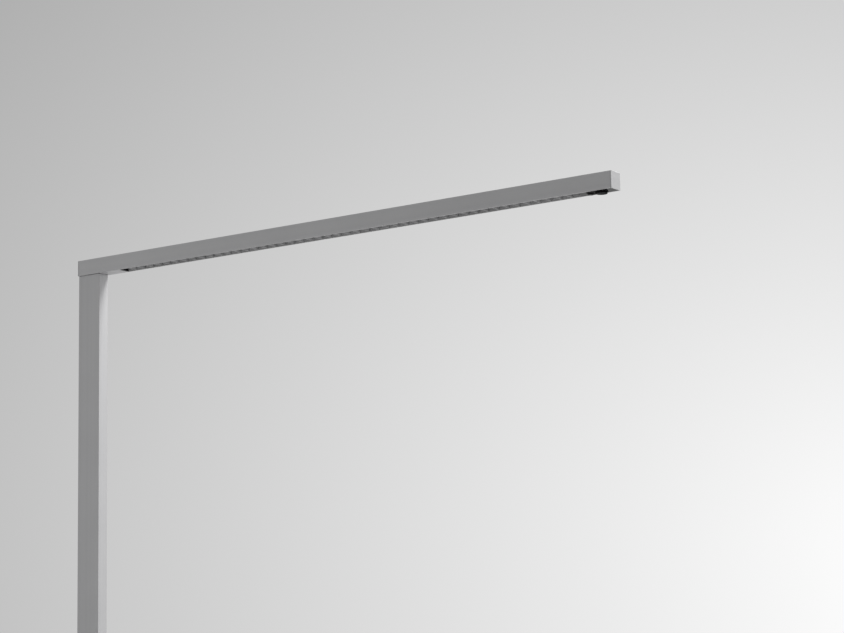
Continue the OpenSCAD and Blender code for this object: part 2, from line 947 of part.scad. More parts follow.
// Lead from the driver up the pole, over the rail and down to the sensor board
module driver_lead() {
    up = arm_z0 + lead_z - lead_bend - driver_top;
    run = arm_x0 + lead_end_x - lead_bend - lead_end_bend;
    end_z = arm_z0 + lead_z - lead_end_bend;
    color([0.9, 0.9, 0.9]) {
        translate([0, 0, driver_top])
            cylinder(h = up, r = lead_r, $fn = 24);
        translate([lead_bend, 0, driver_top + up])
            mirror([1, 0, 0])
                lead_elbow(lead_bend);
        translate([lead_bend, 0, arm_z0 + lead_z])
            rotate([0, 90, 0])
                cylinder(h = run, r = lead_r, $fn = 24);
        translate([lead_bend + run, 0, end_z])
            lead_elbow(lead_end_bend);
        translate([lead_bend + run + lead_end_bend, 0, arm_z0 + connector_top])
            cylinder(h = end_z - arm_z0 - connector_top, r = lead_r, $fn = 24);
    }
}

// Rubber bush in the pole's back wall, where the mains cord enters
module cord_bush() {
    outer = pole_d / 2 + bush_flange_t;
    inner = pole_d / 2 - pole_wall - bush_inner_t;
    round_r = 1;
    color(black)
        translate([0, 0, cord_z])
            rotate([-90, 0, 0])
                rotate_extrude()
                    polygon([
                        [cord_r, inner],
                        [bush_neck_r + bush_inner_t, inner],
                        [bush_neck_r + bush_inner_t, inner + bush_inner_t],
                        [bush_neck_r, inner + bush_inner_t],
                        [bush_neck_r, pole_d / 2],
                        [bush_flange_r, pole_d / 2],
                        for (a = [0 : 15 : 90])
                            [bush_flange_r - round_r + round_r * cos(a), outer - round_r + round_r * sin(a)],
                        [cord_r, outer],
                    ]);
}

// ---- Foot

// Steel block that the pole is pushed over
module foot_block() {
    color(steel)
        translate([0, 0, pole_z0])
            difference() {
                translate([-block_w / 2, -block_d / 2, 0])
                    cube([block_w, block_d, foot_block_h]);
                for (s = [-1, 1]) {
                    translate([s * screw_spread / 2, 0, -cut])
                        cylinder(h = foot_screw_l - base_t + 2 * cut, r = foot_r + thread_gap);
                    translate([s * screw_spread / 2, block_d / 2 - set_l, foot_set_z - pole_z0])
                        y_cylinder(set_l + cut, set_r + thread_gap);
                }
            }
}

module foot_set_screws() {
    color(steel)
        for (s = [-1, 1])
            translate([s * screw_spread / 2, pole_d / 2 - 0.5, foot_set_z])
                set_screw();
}

// Countersunk screws from below, through the plate into the foot block
module foot_screws() {
    color(steel)
        for (s = [-1, 1])
            translate([s * screw_spread / 2, 0, pad_t + slip])
                difference() {
                    union() {
                        cylinder(h = foot_head_h, r1 = foot_head_r, r2 = foot_r);
                        cylinder(h = foot_screw_l, r = foot_r);
                    }
                    translate([0, 0, -cut])
                        cylinder(h = 3 + cut, r = 2.9, $fn = 6);
                }
}

module base_plate() {
    color(silver)
        difference() {
            translate([base_l / 2 - base_rear, 0, pad_t])
                chamfered_plate(base_l, base_w, base_t, base_r, base_chamfer);
            for (s = [-1, 1])
                translate([s * screw_spread / 2, 0, pad_t]) {
                    translate([0, 0, -cut])
                        cylinder(h = base_t + 2 * cut, r = foot_r + bore_gap);
                    cylinder(h = foot_head_h + slip, r1 = foot_head_r + bore_gap + slip, r2 = foot_r + bore_gap);
                    translate([0, 0, -cut])
                        cylinder(h = cut + 0.01, r = foot_head_r + bore_gap + slip);
                }
        }
}

// Soft pad over the whole underside of the plate
module base_pad() {
    inset = 3;
    color([0.12, 0.12, 0.12])
        translate([base_l / 2 - base_rear, 0, 0])
            linear_extrude(pad_t)
                rounded_rect(base_l - 2 * inset, base_w - 2 * inset, base_r - inset);
}

arm_profile();
arm_cap_pole_end();
arm_cap_free_end();
led_rail();
led_board(0);  // led_board_1
led_board(1);  // led_board_2
led_board(2);  // led_board_3
led_board(3);  // led_board_4
led_board_screws();
lens_strip(0);  // lens_strip_1
lens_strip(1);  // lens_strip_2
lens_strip(2);  // lens_strip_3
lens_strip(3);  // lens_strip_4
louvre(0);  // louvre_1
louvre(1);  // louvre_2
louvre(2);  // louvre_3
louvre(3);  // louvre_4
louvre_end_pole_side();
louvre_end_free_side();
tip_panel();
sensor_panel();
sensor_lens();
sensor_board();
tact_switch();
push_button();
button_spring();
arm_nut_bar();
neck_screws();
pole_top_block();
top_set_screws();
pole_profile();
driver_sled();
led_driver();
driver_screws();
driver_lead();
foot_block();
foot_screws();
foot_set_screws();
base_plate();
base_pad();
cord_bush();
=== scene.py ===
# %% [markdown]
# # An office floor lamp, dressed in Blender
# The lamp is a slim square LED arm on a flat rectangular pole with a steel base plate. All its pieces come
# ready-made from a CAD model, in metres, standing on the floor with +Z up and the arm along +X.
# This lesson gives them a camera, a small studio and their finishes. The shapes stay as they are: a finish
# is what changes a grey block into anodised aluminium, powder-coated steel or clear acrylic.

# %% Load the CAD pieces
import math

import bpy
from mathutils import Matrix, Vector


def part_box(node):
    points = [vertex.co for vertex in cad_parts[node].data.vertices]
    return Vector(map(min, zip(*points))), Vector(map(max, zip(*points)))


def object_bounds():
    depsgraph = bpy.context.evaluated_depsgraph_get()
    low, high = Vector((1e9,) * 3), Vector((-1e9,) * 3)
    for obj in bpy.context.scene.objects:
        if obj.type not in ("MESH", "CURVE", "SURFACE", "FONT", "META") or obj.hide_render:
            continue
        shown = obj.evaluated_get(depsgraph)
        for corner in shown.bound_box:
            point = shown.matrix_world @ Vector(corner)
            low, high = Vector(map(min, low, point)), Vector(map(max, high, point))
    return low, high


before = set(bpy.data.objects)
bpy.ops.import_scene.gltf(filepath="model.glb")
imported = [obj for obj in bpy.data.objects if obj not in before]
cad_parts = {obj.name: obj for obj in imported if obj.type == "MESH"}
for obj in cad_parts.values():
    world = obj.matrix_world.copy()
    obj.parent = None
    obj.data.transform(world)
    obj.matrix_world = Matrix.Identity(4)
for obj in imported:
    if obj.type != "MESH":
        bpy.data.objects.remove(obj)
cad_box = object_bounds()
print("the lamp's box:", [[round(v, 3) for v in corner] for corner in cad_box])

# %% [markdown]
# ## The camera
# The photograph was taken from low in front of the arm's free end, looking up at its underside with a long
# lens. A camera in Blender is placed by its position and by three directions: where it looks, and which way
# is right and up in the picture. Turning is written as heading, pitch and roll, because a photographer sets
# a tripod head in that order. The focal length is given for a 36 mm wide sensor.

# %% Place the camera
eye = Vector((3.174, -3.4605, 1.0129))
heading = 0.60643
pitch = 0.17331
roll = -0.0192
focal_length = 104.19

ahead = Vector((-math.sin(heading) * math.cos(pitch), math.cos(heading) * math.cos(pitch), math.sin(pitch)))
level_right = Vector((math.cos(heading), math.sin(heading), 0.0))
level_up = level_right.cross(ahead)
right = math.cos(roll) * level_right + math.sin(roll) * level_up
up = math.cos(roll) * level_up - math.sin(roll) * level_right

camera_data = bpy.data.cameras.new("photograph_camera")
camera_data.sensor_width = 36.0
camera_data.lens = focal_length
camera_data.clip_end = 200.0
camera = bpy.data.objects.new("photograph_camera", camera_data)
turn = Matrix((right, up, -ahead)).transposed()
camera.matrix_world = Matrix.Translation(eye) @ turn.to_4x4()
bpy.context.scene.collection.objects.link(camera)
bpy.context.scene.camera = camera
bpy.context.scene.view_settings.view_transform = "Standard"
print("the camera looks up by", round(math.degrees(pitch), 1), "degrees")

# %% [markdown]
# ## Three small helpers for node trees
# Every finish below is a tree of nodes. Adding a node takes three steps by hand: make it, set its values,
# link its inputs. The first helper does all three, so that each finish reads as a list of what it is made
# of. The second adds a Math node, and the third makes a node group with its inputs and outputs.

# %% Helpers for nodes
def add(tree, kind, inputs=None, **settings):
    """Add a node to a tree, set it up, and fill its inputs with values or links."""
    made = tree.nodes.new(kind)
    for name, value in settings.items():
        setattr(made, name, value)
    for name, value in (inputs or {}).items():
        socket = made.inputs[name]
        if isinstance(value, bpy.types.NodeSocket):
            tree.links.new(value, socket)
        else:
            socket.default_value = value
    return made


def calculate(tree, operation, *values, clamp=False):
    """Add a Math node and give back its result."""
    inputs = dict(enumerate(values))
    return add(tree, "ShaderNodeMath", inputs, operation=operation, use_clamp=clamp).outputs[0]


def start_group(name, inputs, outputs):
    """Make an empty node group with named float or vector sockets."""
    group = bpy.data.node_groups.new(name, "ShaderNodeTree")
    for label, (kind, value) in inputs.items():
        socket = group.interface.new_socket(name=label, in_out="INPUT", socket_type=kind)
        socket.default_value = value
    for label in outputs:
        group.interface.new_socket(name=label, in_out="OUTPUT", socket_type="NodeSocketFloat")
    print("a group that gives", ", ".join(outputs))
    return group, group.nodes.new("NodeGroupInput"), group.nodes.new("NodeGroupOutput")

# %% [markdown]
# ## The studio: backdrop and floor
# Behind the lamp the photograph has a plain wall of light: brightest low on the right, and darker with the
# distance from there. It could be a lit plane, but a world that depends on the direction you look in does
# the same with no object, and stays smooth all the way round. The direction is turned into two angles, to
# the side and up, and the shade falls evenly with the angle away from the bright spot until it reaches the
# grey of the rest of the room. Below the bright spot it falls slowest, as over a lit studio floor. Shades
# are given as they look on a screen, from 0 to 1, so the last step turns them into amounts of light.

# %% Build the world
world = bpy.data.worlds.new("studio")
bpy.context.scene.world = world
world.use_nodes = True
sky = world.node_tree
sky.nodes.clear()

bright_side = math.radians(-22.3)
bright_height = math.radians(3.9)
brightest = 1.014
fall_to_left = 0.65
fall_to_right = 0.12
fall_upward = 0.89
fall_downward = 0.05
room_grey = 0.685
screen_gamma = 2.2

direction = add(sky, "ShaderNodeSeparateXYZ", {0: add(sky, "ShaderNodeTexCoord").outputs["Generated"]})
side_angle = calculate(sky, "ARCTAN2", direction.outputs["X"], direction.outputs["Y"])
height_angle = calculate(sky, "ARCSINE", direction.outputs["Z"])
to_side = calculate(sky, "SUBTRACT", side_angle, bright_side)
to_left = calculate(sky, "MULTIPLY", calculate(sky, "MINIMUM", to_side, 0.0), fall_to_left)
to_right = calculate(sky, "MULTIPLY", calculate(sky, "MAXIMUM", to_side, 0.0), fall_to_right)
to_height = calculate(sky, "SUBTRACT", height_angle, bright_height)
upward = calculate(sky, "MULTIPLY", calculate(sky, "MAXIMUM", to_height, 0.0), fall_upward)
downward = calculate(sky, "MULTIPLY", calculate(sky, "MINIMUM", to_height, 0.0), fall_downward)
squares = calculate(sky, "MULTIPLY", to_left, to_left)
for offset in (to_right, upward, downward):
    squares = calculate(sky, "ADD", squares, calculate(sky, "MULTIPLY", offset, offset))
shade = calculate(sky, "SUBTRACT", brightest, calculate(sky, "SQRT", squares))
shade = calculate(sky, "MINIMUM", calculate(sky, "MAXIMUM", shade, room_grey), 1.0)
backdrop = calculate(sky, "POWER", shade, screen_gamma)
glow = add(sky, "ShaderNodeBackground", {"Color": backdrop, "Strength": 1.0})
add(sky, "ShaderNodeOutputWorld", {"Surface": glow.outputs[0]})
print("world nodes:", len(sky.nodes))

# %% [markdown]
# The floor is one large pale sheet. It is only there to catch the lamp's shadow and to light the underside
# of the arm from below, as a real floor does, so it gets a plain matt finish with a faint mottling. In a
# photo studio the floor runs up into the backdrop in one curve, without an edge. Here the sheet thins out
# with the distance from the lamp, so that the bright backdrop takes over. You see it on the underside
# of the arm, which mirrors what lies far behind the lamp.

# %% Lay the floor
far = 30.0
gap_below_lamp = 0.0005
corners = [(-far, -far, 0), (far, -far, 0), (far, far, 0), (-far, far, 0)]
floor_mesh = bpy.data.meshes.new("studio_floor")
floor_mesh.from_pydata(corners, [], [(0, 1, 2, 3)])
floor = bpy.data.objects.new("studio_floor", floor_mesh)
bpy.context.scene.collection.objects.link(floor)
floor.location.z = cad_box[0][2] - gap_below_lamp
print("the floor reaches", far, "m to each side")

# %% Paint the floor
darkest_tone = 0.63
palest_tone = 0.66
thinning_starts = 2.2
thinning_ends = 4.2

floor_paint = bpy.data.materials.new("pale_floor")
floor_paint.use_nodes = True
tree = floor_paint.node_tree
shader = tree.nodes["Principled BSDF"]
shader.inputs["Roughness"].default_value = 0.9
shader.inputs["Specular IOR Level"].default_value = 0.1
place = add(tree, "ShaderNodeTexCoord").outputs["Object"]
mottle = add(tree, "ShaderNodeTexNoise", {"Vector": place, "Scale": 1.5})
tone = add(tree, "ShaderNodeMapRange",
           {"Value": mottle.outputs[0], "To Min": darkest_tone, "To Max": palest_tone})
tree.links.new(tone.outputs[0], shader.inputs["Base Color"])
distance = add(tree, "ShaderNodeVectorMath", {0: place}, operation="LENGTH").outputs["Value"]
thinning = add(tree, "ShaderNodeMapRange",
               {"Value": distance, "From Min": thinning_starts, "From Max": thinning_ends},
               interpolation_type="SMOOTHSTEP")
open_air = add(tree, "ShaderNodeBsdfTransparent")
mixed = add(tree, "ShaderNodeMixShader",
            {0: thinning.outputs[0], 1: shader.outputs[0], 2: open_air.outputs[0]})
tree.links.new(mixed.outputs[0], tree.nodes["Material Output"].inputs["Surface"])
floor_mesh.materials.append(floor_paint)
print("it thins out from", thinning_starts, "to", thinning_ends, "m away")

# %% [markdown]
# ## The lights
# The arm throws a slanted shadow on the pole's narrow side, and its long side is darker than its end. So
# the strongest light comes from high up, behind the lamp and to its right. A wide, weak light from the
# front and left keeps the near side from going dark. Area lights are used because their shadows have soft
# edges, like those of a studio's light boxes.

# %% Hang the lights
def light_box(name, place, size, power):
    """Hang a square area light at a place and turn it to the upper part of the pole."""
    data = bpy.data.lights.new(name, "AREA")
    data.shape = "SQUARE"
    data.size = size
    data.energy = power
    light = bpy.data.objects.new(name, data)
    light.location = place
    light.rotation_euler = (aim - light.location).to_track_quat("-Z", "Y").to_euler()
    bpy.context.scene.collection.objects.link(light)
    print(name, "hangs at", [round(v, 2) for v in light.location])


aim = Vector((0.2, 0.0, 1.6))
light_box("key_light", (1.75, 0.66, 3.8), size=0.95, power=147.0)
light_box("front_light", (-5.5, -3.8, 2.4), size=3.0, power=11.0)

# %% [markdown]
# ## Shared effects
# Real surfaces are never one even colour. Three effects come back in many finishes, so each is a node group
# that can be placed in any of them with its own values:
# - long lines, as an extrusion press or a brush leaves them, made by stretching noise in one direction
# - fine grain, for the texture of powder coat, anodising and moulded plastic
# - settled dust, which lies only on faces that look up

# %% Group: drawn lines
lines_group, ins, outs = start_group(
    "drawn_lines",
    {"Vector": ("NodeSocketVector", (0, 0, 0)), "Stretch": ("NodeSocketVector", (2, 900, 900))},
    ["Lines", "Bands"],
)
stretched = add(lines_group, "ShaderNodeVectorMath", {0: ins.outputs["Vector"], 1: ins.outputs["Stretch"]},
                operation="MULTIPLY").outputs[0]
fine = add(lines_group, "ShaderNodeTexNoise",
           {"Vector": stretched, "Scale": 1.0, "Detail": 3.0, "Roughness": 0.6})
wide = add(lines_group, "ShaderNodeTexNoise", {"Vector": stretched, "Scale": 0.12, "Detail": 1.0})
lines_group.links.new(fine.outputs[0], outs.inputs["Lines"])
lines_group.links.new(wide.outputs[0], outs.inputs["Bands"])

# %% Group: fine grain
grain_group, ins, outs = start_group(
    "fine_grain",
    {"Vector": ("NodeSocketVector", (0, 0, 0)), "Per metre": ("NodeSocketFloat", 2500.0)},
    ["Grain", "Cloud"],
)
small = add(grain_group, "ShaderNodeTexNoise",
            {"Vector": ins.outputs["Vector"], "Scale": ins.outputs["Per metre"],
             "Detail": 2.0, "Roughness": 0.55})
cloud = add(grain_group, "ShaderNodeTexNoise",
            {"Vector": ins.outputs["Vector"], "Scale": 9.0, "Detail": 4.0})
grain_group.links.new(small.outputs[0], outs.inputs["Grain"])
grain_group.links.new(cloud.outputs[0], outs.inputs["Cloud"])

# %% Group: settled dust
dust_group, ins, outs = start_group(
    "settled_dust",
    {"Vector": ("NodeSocketVector", (0, 0, 0)), "Amount": ("NodeSocketFloat", 0.3)},
    ["Dust"],
)
normal = add(dust_group, "ShaderNodeNewGeometry").outputs["Normal"]
facing = add(dust_group, "ShaderNodeSeparateXYZ", {0: normal})
level = add(dust_group, "ShaderNodeMapRange",
            {"Value": facing.outputs["Z"], "From Min": 0.75, "From Max": 0.98})
specks = add(dust_group, "ShaderNodeTexNoise",
             {"Vector": ins.outputs["Vector"], "Scale": 420.0, "Detail": 5.0, "Roughness": 0.8})
clumps = add(dust_group, "ShaderNodeMapRange",
             {"Value": specks.outputs[0], "From Min": 0.42, "From Max": 0.72})
lying = calculate(dust_group, "MULTIPLY", level.outputs[0], clumps.outputs[0])
lying = calculate(dust_group, "MULTIPLY", lying, ins.outputs["Amount"], clamp=True)
dust_group.links.new(lying, outs.inputs["Dust"])
print("groups:", ", ".join(group.name for group in bpy.data.node_groups))

# %% [markdown]
# ## A common start for all finishes
# Each finish starts with a Principled shader. Numbers that are the same all over a piece go straight on
# the shader. A colour that varies comes from mixing the main colour with a slightly different one, by a
# mask between 0 and 1. A bump comes from a height in metres, so that its size can be given as on a drawing.
# The Mix node has several sockets with the same name, one for each kind of value, so those for colours
# are found by their place in the list.

# %% Helpers for finishes
micrometre = 0.000001
colour_a = 6
colour_b = 7
colour_result = 2


def start_finish(name, metallic=0.0, roughness=0.5, **more):
    """Make a material and give back what a finish needs to build on.

    More settings go by the name of the shader's socket, with underscores for spaces.
    """
    material = bpy.data.materials.new(name)
    material.use_nodes = True
    tree = material.node_tree
    shader = tree.nodes["Principled BSDF"]
    shader.inputs["Metallic"].default_value = metallic
    shader.inputs["Roughness"].default_value = roughness
    for label, value in more.items():
        shader.inputs[label.replace("_", " ")].default_value = value
    place = add(tree, "ShaderNodeTexCoord").outputs["Object"]
    return material, tree, shader, place


def tint(tree, mask, low, high):
    """Mix two colours by a mask."""
    mixed = add(tree, "ShaderNodeMix", {0: mask, colour_a: (*low, 1.0), colour_b: (*high, 1.0)},
                data_type="RGBA")
    return mixed.outputs[colour_result]


def cover(tree, mask, base, top):
    """Lay a colour over another one where a mask is high."""
    mixed = add(tree, "ShaderNodeMix", {0: mask, colour_a: base, colour_b: (*top, 1.0)},
                data_type="RGBA")
    return mixed.outputs[colour_result]


def spread(tree, value, low, high, from_low=0.3, from_high=0.7):
    """Bring a noise value to a range."""
    ranged = add(tree, "ShaderNodeMapRange",
                 {"Value": value, "From Min": from_low, "From Max": from_high,
                  "To Min": low, "To Max": high})
    return ranged.outputs[0]


def raise_bump(tree, shader, height, depth):
    """Give the surface a relief of a depth in metres."""
    bump = add(tree, "ShaderNodeBump", {"Height": height, "Strength": 1.0, "Distance": depth})
    tree.links.new(bump.outputs[0], shader.inputs["Normal"])


def wear(material, *names):
    """Put a finish on CAD pieces."""
    for name in names:
        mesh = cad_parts[name].data
        mesh.materials.clear()
        mesh.materials.append(material)
    print(material.name, "on", ", ".join(names))

# %% [markdown]
# ## Satin anodised aluminium: arm, end caps and pole
# Both profiles are pressed through a die, etched until they are matt, and anodised in silver. On the real
# thing you see very fine lines that run along the profile, and a soft, wide highlight. The metal could be
# brushed with anisotropy, but the lines are so fine that noise, stretched along the profile, in the
# roughness and the bump looks closer. The etched skin scatters a part of the light, so the finish is only
# partly metallic. The arm runs along X and the pole along Z. The pole and the caps are the same metal as
# the arm, but their colour is made a little darker: painted shade, which tones down how bright their faces
# come out under these lights. So one function makes each finish from a direction and a painted shade
# factor.

# %% Anodised aluminium
def anodised(name, stretch, painted_shade_factor=1.0):
    """Satin anodised aluminium, with lines in the direction that has the small stretch value."""
    # painted shade: a factor below 1 darkens the colour, for the pole and the caps, which are the same
    # metal as the arm
    dark = 0.475 * painted_shade_factor
    pale = 0.515 * painted_shade_factor
    dust_colour = (0.62, 0.61, 0.59)
    material, tree, shader, place = start_finish(name, metallic=0.6, roughness=0.4)
    lines = add(tree, "ShaderNodeGroup", {"Vector": place, "Stretch": stretch}, node_tree=lines_group)
    grain = add(tree, "ShaderNodeGroup", {"Vector": place, "Per metre": 3200.0}, node_tree=grain_group)
    dust = add(tree, "ShaderNodeGroup", {"Vector": place, "Amount": 0.25}, node_tree=dust_group)
    tone = calculate(tree, "ADD", calculate(tree, "MULTIPLY", lines.outputs["Bands"], 0.5),
                     calculate(tree, "MULTIPLY", grain.outputs["Cloud"], 0.5))
    mask = spread(tree, tone, 0.0, 1.0)
    colour = tint(tree, mask, (dark, dark, dark + 0.007), (pale, pale, pale + 0.005))
    colour = cover(tree, dust.outputs["Dust"], colour, dust_colour)
    tree.links.new(colour, shader.inputs["Base Color"])
    rough = spread(tree, lines.outputs["Lines"], 0.36, 0.44)
    rough = calculate(tree, "ADD", rough, calculate(tree, "MULTIPLY", dust.outputs["Dust"], 0.3))
    tree.links.new(rough, shader.inputs["Roughness"])
    weak_grain = calculate(tree, "MULTIPLY", grain.outputs["Grain"], 0.6)
    relief = calculate(tree, "ADD", lines.outputs["Lines"], weak_grain)
    raise_bump(tree, shader, relief, 12 * micrometre)
    return material


arm_metal = anodised("satin_anodised_arm", (2.0, 1100.0, 1100.0))
# the pole and the caps get painted shade: the same metal as the arm, with a slightly darker colour
pole_metal = anodised("satin_anodised_pole", (1100.0, 1100.0, 2.0), painted_shade_factor=0.97)
cap_metal = anodised("satin_anodised_caps", (1100.0, 2.0, 1100.0), painted_shade_factor=0.97)
wear(arm_metal, "arm_profile")
wear(pole_metal, "pole_profile")
wear(cap_metal, "arm_cap_pole_end", "arm_cap_free_end")

# %% [markdown]
# ## Powder-coated steel: the base plate
# The plate is cut from 10 mm steel and powder-coated in silver grey. Powder melts into a skin with a fine
# ripple, like orange peel, and the silver in it is tiny flakes. A mix of a slow ripple and a quick grain in
# the bump gives the skin, and a Voronoi pattern with a random shade for each cell gives the flakes.

# %% Powder coat
base_coat, tree, shader, place = start_finish("silver_powder_coat", metallic=0.35, roughness=0.5)
grain = add(tree, "ShaderNodeGroup", {"Vector": place, "Per metre": 1600.0}, node_tree=grain_group)
dust = add(tree, "ShaderNodeGroup", {"Vector": place, "Amount": 0.35}, node_tree=dust_group)
flakes = add(tree, "ShaderNodeTexVoronoi", {"Vector": place, "Scale": 2600.0})
flake_shade = add(tree, "ShaderNodeSeparateColor", {0: flakes.outputs["Color"]}).outputs[0]
mask = spread(tree, flake_shade, 0.0, 1.0, from_low=0.1, from_high=0.95)
colour = tint(tree, mask, (0.38, 0.38, 0.385), (0.50, 0.50, 0.505))
colour = cover(tree, dust.outputs["Dust"], colour, (0.56, 0.55, 0.53))
tree.links.new(colour, shader.inputs["Base Color"])
ripple = add(tree, "ShaderNodeTexNoise", {"Vector": place, "Scale": 420.0, "Detail": 1.0}).outputs[0]
relief = calculate(tree, "ADD", ripple, calculate(tree, "MULTIPLY", grain.outputs["Grain"], 0.35))
raise_bump(tree, shader, relief, 80 * micrometre)
tree.links.new(spread(tree, grain.outputs["Cloud"], 0.44, 0.56), shader.inputs["Roughness"])
wear(base_coat, "base_plate")

# %% [markdown]
# ## The louvre: satin metallised plastic
# Each louvre is moulded and then coated with a thin film of aluminium, a little matt, so that the cells
# throw the light down without glare. The film follows every small unevenness of the moulding. A partly
# metallic surface with medium roughness and a very shallow, slow ripple shows that.

# %% Metallised plastic
film, tree, shader, place = start_finish("satin_reflector_film", metallic=0.35, roughness=0.42)
grain = add(tree, "ShaderNodeGroup", {"Vector": place, "Per metre": 2200.0}, node_tree=grain_group)
mask = spread(tree, grain.outputs["Cloud"], 0.0, 1.0)
colour = tint(tree, mask, (0.28, 0.28, 0.284), (0.33, 0.33, 0.334))
tree.links.new(colour, shader.inputs["Base Color"])
tree.links.new(spread(tree, grain.outputs["Grain"], 0.38, 0.46), shader.inputs["Roughness"])
wave = add(tree, "ShaderNodeTexNoise", {"Vector": place, "Scale": 260.0, "Detail": 2.0}).outputs[0]
raise_bump(tree, shader, wave, 30 * micrometre)
wear(film, "louvre_1", "louvre_2", "louvre_3", "louvre_4")

# %% [markdown]
# ## Black and dark plastics: end pieces, panels, button, lens
# The dark parts differ in gloss. The end pieces, the sensor's housing and the switch are moulded in a
# spark-eroded tool. Their fine grain breaks the light up, so they hardly shine, even at a low angle. The
# tip panel is smooth, with a faint, sharp reflection, and the button is satin. The round lens is a dark
# filter with moulded rings, as the lens of a motion sensor has them: a saw-tooth wave that runs out from
# its centre. The same wave also paints each ring a little darker in its low part and lighter at its crest:
# painted shade on the ring slopes.

# %% Matt, gloss and satin black
def dark_plastic(name, colour, roughness, texture_depth, per_metre, shine):
    """Moulded dark plastic with a grain of its own."""
    dust_colour = (0.3, 0.3, 0.29)
    material, tree, shader, place = start_finish(name, roughness=roughness, Specular_IOR_Level=shine)
    grain = add(tree, "ShaderNodeGroup", {"Vector": place, "Per metre": per_metre}, node_tree=grain_group)
    dust = add(tree, "ShaderNodeGroup", {"Vector": place, "Amount": 0.15}, node_tree=dust_group)
    lighter = tuple(value * 1.35 for value in colour)
    shade = tint(tree, spread(tree, grain.outputs["Cloud"], 0.0, 1.0), colour, lighter)
    shade = cover(tree, dust.outputs["Dust"], shade, dust_colour)
    tree.links.new(shade, shader.inputs["Base Color"])
    rough = spread(tree, grain.outputs["Grain"], roughness * 0.85, roughness * 1.15)
    tree.links.new(rough, shader.inputs["Roughness"])
    raise_bump(tree, shader, grain.outputs["Grain"], texture_depth)
    return material


matt_black = dark_plastic("matt_black_plastic", (0.010, 0.010, 0.011), roughness=0.6,
                          texture_depth=30 * micrometre, per_metre=2600.0, shine=0.04)
gloss_black = dark_plastic("gloss_black_panel", (0.012, 0.012, 0.013), roughness=0.14,
                           texture_depth=2 * micrometre, per_metre=900.0, shine=0.03)
satin_dark = dark_plastic("satin_dark_button", (0.014, 0.014, 0.015), roughness=0.45,
                          texture_depth=10 * micrometre, per_metre=3000.0, shine=0.08)
wear(matt_black, "louvre_end_pole_side", "louvre_end_free_side", "tact_switch", "sensor_panel")
wear(gloss_black, "tip_panel")
wear(satin_dark, "push_button")

# %% Sensor lens with moulded rings
rings_per_metre = 1200.0
ringed_radius = 0.0082
lens_low, lens_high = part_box("sensor_lens")
lens_middle = (lens_low + lens_high) / 2
dark_lens, tree, shader, place = start_finish("dark_sensor_lens", roughness=0.5, Specular_IOR_Level=0.02)
from_middle = add(tree, "ShaderNodeVectorMath", {0: place, 1: tuple(lens_middle)},
                  operation="SUBTRACT").outputs[0]
flat = add(tree, "ShaderNodeVectorMath", {0: from_middle, 1: (1.0, 1.0, 0.0)},
           operation="MULTIPLY").outputs[0]
reach = add(tree, "ShaderNodeVectorMath", {0: flat}, operation="LENGTH").outputs["Value"]
ring_relief_and_shade = calculate(tree, "FRACT", calculate(tree, "MULTIPLY", reach, rings_per_metre))
inside = calculate(tree, "LESS_THAN", reach, ringed_radius)
ring_relief_and_shade = calculate(tree, "MULTIPLY", ring_relief_and_shade, inside)
# painted shade: each ring's colour goes from darker in its low part to lighter at its crest, following the
# relief
colour = tint(tree, ring_relief_and_shade, (0.006, 0.006, 0.007), (0.013, 0.013, 0.014))
tree.links.new(colour, shader.inputs["Base Color"])
raise_bump(tree, shader, ring_relief_and_shade, 60 * micrometre)
grain = add(tree, "ShaderNodeGroup", {"Vector": place, "Per metre": 2600.0}, node_tree=grain_group)
tree.links.new(spread(tree, grain.outputs["Grain"], 0.45, 0.6), shader.inputs["Roughness"])
wear(dark_lens, "sensor_lens")

# %% [markdown]
# ## Rubber: pad and cord bush
# Soft black rubber scatters light and picks up dust. It gets a high roughness, a coarse moulded texture,
# and more colour variation than the plastics.

# %% Rubber
rubber, tree, shader, place = start_finish("soft_black_rubber", roughness=0.85)
grain = add(tree, "ShaderNodeGroup", {"Vector": place, "Per metre": 1400.0}, node_tree=grain_group)
mask = spread(tree, grain.outputs["Cloud"], 0.0, 1.0)
colour = tint(tree, mask, (0.02, 0.02, 0.02), (0.045, 0.044, 0.043))
tree.links.new(colour, shader.inputs["Base Color"])
tree.links.new(spread(tree, grain.outputs["Grain"], 0.78, 0.92), shader.inputs["Roughness"])
raise_bump(tree, shader, grain.outputs["Grain"], 60 * micrometre)
wear(rubber, "base_pad", "cord_bush")

# %% [markdown]
# ## What lies behind the louvre: boards, lenses and rail
# When you look straight up into a cell, you see a clear lens and an LED behind it. The LEDs belong to the
# same solid as their white board, so the finish tells them apart by height: the lowest half millimetre is
# LEDs, and the middle of each is the yellow phosphor. The boards follow each other with a small gap, so one
# row of equal cells, counted from the start of the first board, finds the middle of every LED.

# %% LED boards
leds_per_board = 12
gap_between_boards = 0.0002
led_height = 0.0005
phosphor_half_width = 0.00115

board_low, board_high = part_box("led_board_1")
row_start = board_low.x - gap_between_boards / 2
cell = (board_high.x - board_low.x + gap_between_boards) / leds_per_board
print("one LED every", round(cell * 1000, 2), "mm")
led_boards, tree, shader, place = start_finish("white_led_board", roughness=0.45)
spot = add(tree, "ShaderNodeSeparateXYZ", {0: place})
along = calculate(tree, "SUBTRACT", spot.outputs["X"], row_start)
along = calculate(tree, "SUBTRACT", calculate(tree, "FRACT", calculate(tree, "DIVIDE", along, cell)), 0.5)
along = calculate(tree, "ABSOLUTE", calculate(tree, "MULTIPLY", along, cell))
across = calculate(tree, "ABSOLUTE", spot.outputs["Y"])
widest = calculate(tree, "MAXIMUM", along, across)
low = calculate(tree, "LESS_THAN", spot.outputs["Z"], board_low.z + led_height)
near_middle = calculate(tree, "LESS_THAN", widest, phosphor_half_width)
phosphor = calculate(tree, "MULTIPLY", near_middle, low)
grain = add(tree, "ShaderNodeGroup", {"Vector": place, "Per metre": 3000.0}, node_tree=grain_group)
